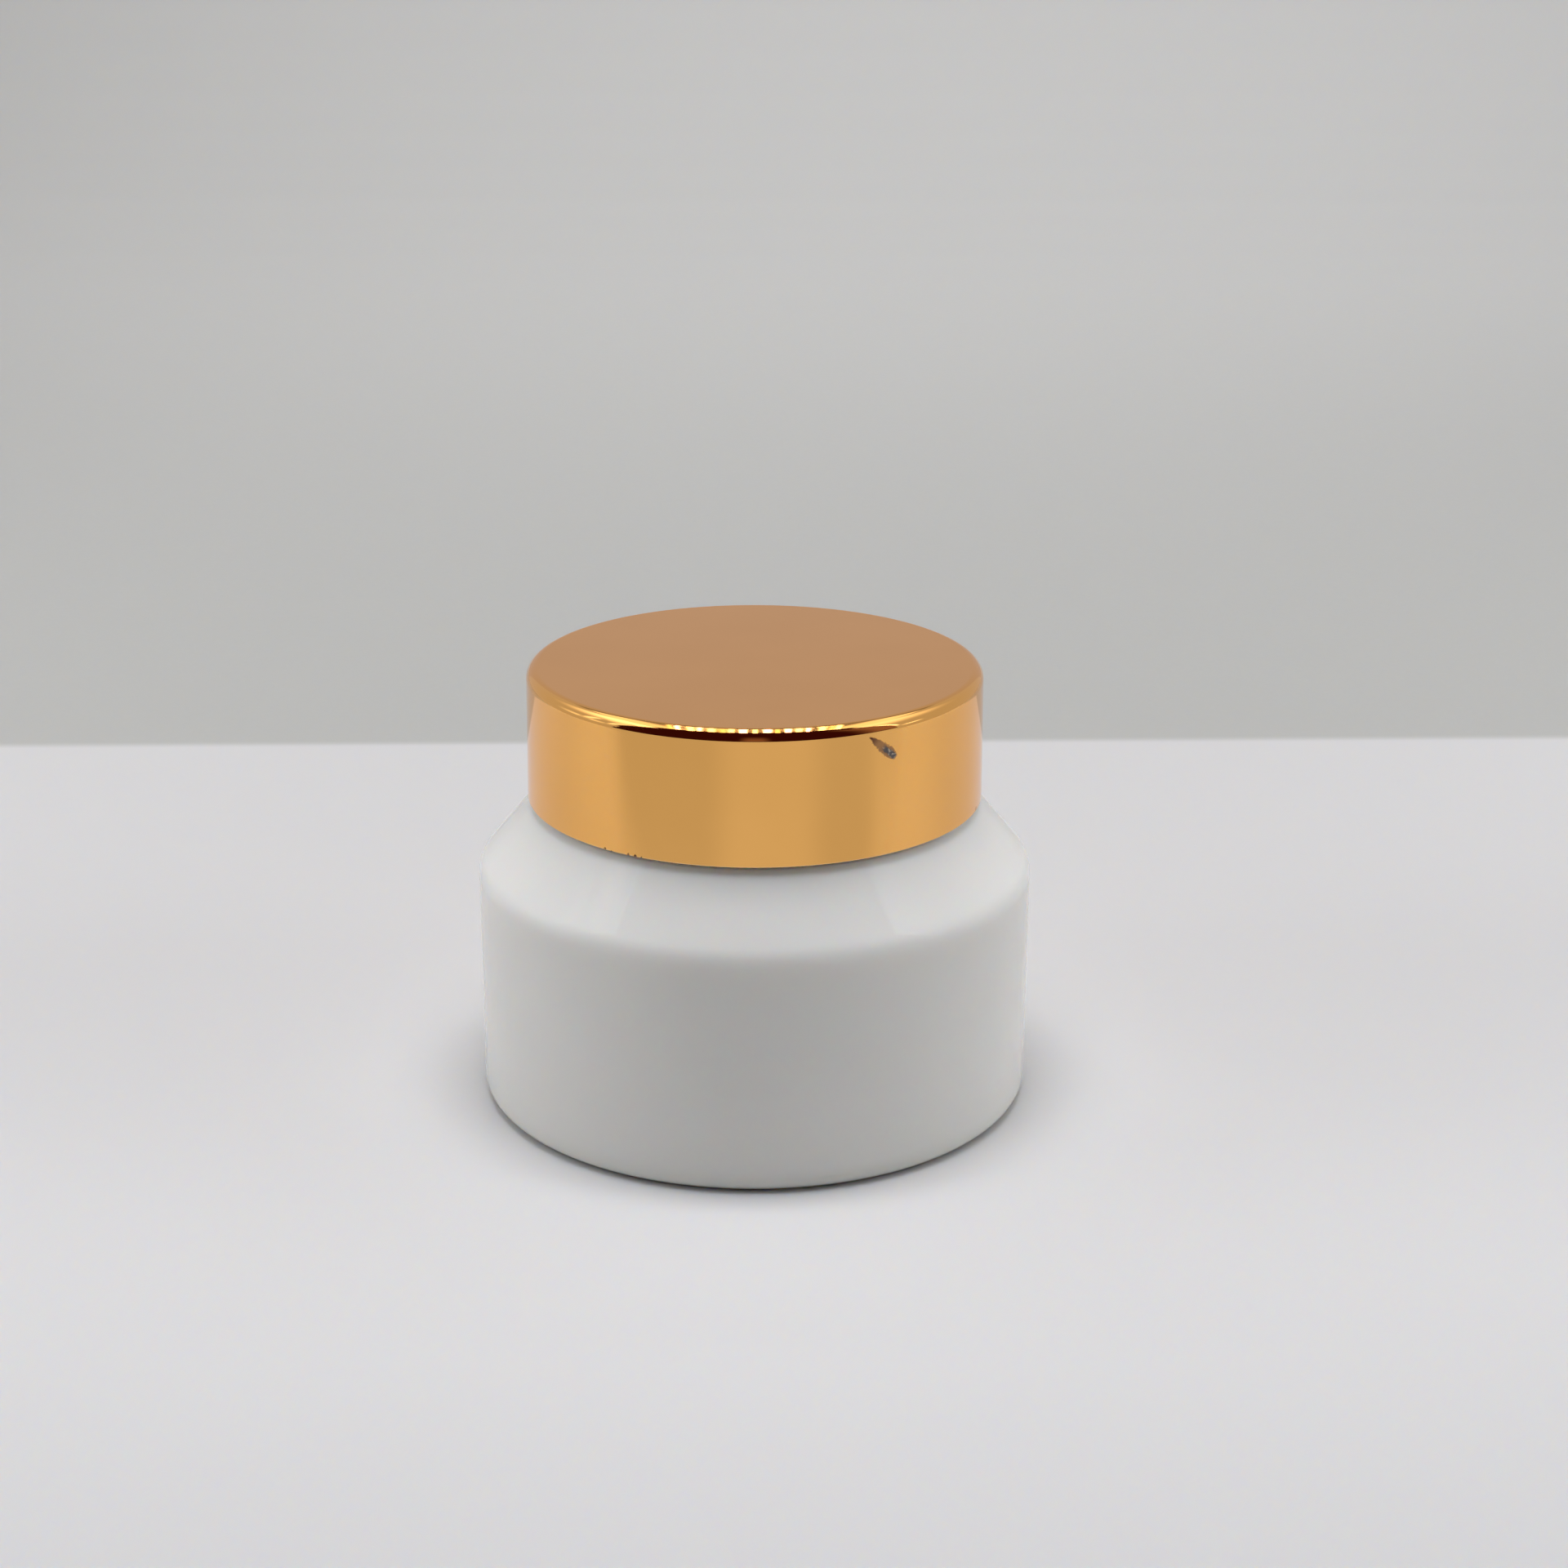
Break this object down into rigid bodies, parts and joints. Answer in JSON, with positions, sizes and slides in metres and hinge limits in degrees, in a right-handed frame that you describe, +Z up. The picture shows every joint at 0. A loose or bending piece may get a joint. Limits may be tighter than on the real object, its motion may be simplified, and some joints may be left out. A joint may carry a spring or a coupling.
{
  "type": "cosmetic cream jar",
  "caption": "Squat round opal glass cream jar with a sloping shoulder, a press-in sealing disc with a pull tab and a wide gold metal-clad screw lid.",
  "frame": {"origin": "centre of the base, in the plane of the ring that the jar stands on", "axes": "+Z up along the jar's axis, towards the lid; +X away from the pull tab's hinge, towards its tip"},
  "size_m": [0.062, 0.062, 0.0495],
  "materials": {
    "opal_glass": "opaque white opal glass, fire-polished gloss",
    "disc_plastic": "natural polyethylene, soft satin",
    "liner_foam": "closed-cell polyethylene foam, matt",
    "cap_plastic": "white moulded polypropylene",
    "gold_shell": "bright gold anodised, polished"
  },
  "bodies": {
    "jar": {"glass_jar": "opal_glass"},
    "liner": {"cap_liner": "liner_foam"},
    "lid": {"inner_cap": "cap_plastic", "outer_shell": "gold_shell"},
    "disc": {"sealing_disc": "disc_plastic"},
    "disc_tab": {"disc_pull_tab": "disc_plastic"}
  },
  "joints": [
    {"name": "lid_lift", "type": "slide", "parent": "jar", "child": "liner", "axis": [0, 0, 1], "range_m": [0, 0.02118]},
    {"name": "lid_unscrew", "type": "hinge", "parent": "liner", "child": "lid", "pos_m": [0, 0, 0], "axis": [0, 0, 1], "range_deg": [0, 1800]},
    {"name": "disc_lift", "type": "slide", "parent": "jar", "child": "disc", "axis": [0, 0, 1], "range_m": [0, 0.00601]},
    {"name": "tab_fold", "type": "hinge", "parent": "disc", "child": "disc_tab", "pos_m": [-0.0057, 0, 0.04565], "axis": [0, -1, 0], "range_deg": [0, 75.05]}
  ],
  "couplings": [
    {"joint": "lid_lift", "follows": "lid_unscrew", "m_per_rad": 0.00067376},
    {"joint": "disc_lift", "follows": "lid_unscrew", "m_per_rad": 0.00019099},
    {"joint": "tab_fold", "follows": "lid_unscrew", "ratio": 0.041667}
  ]
}
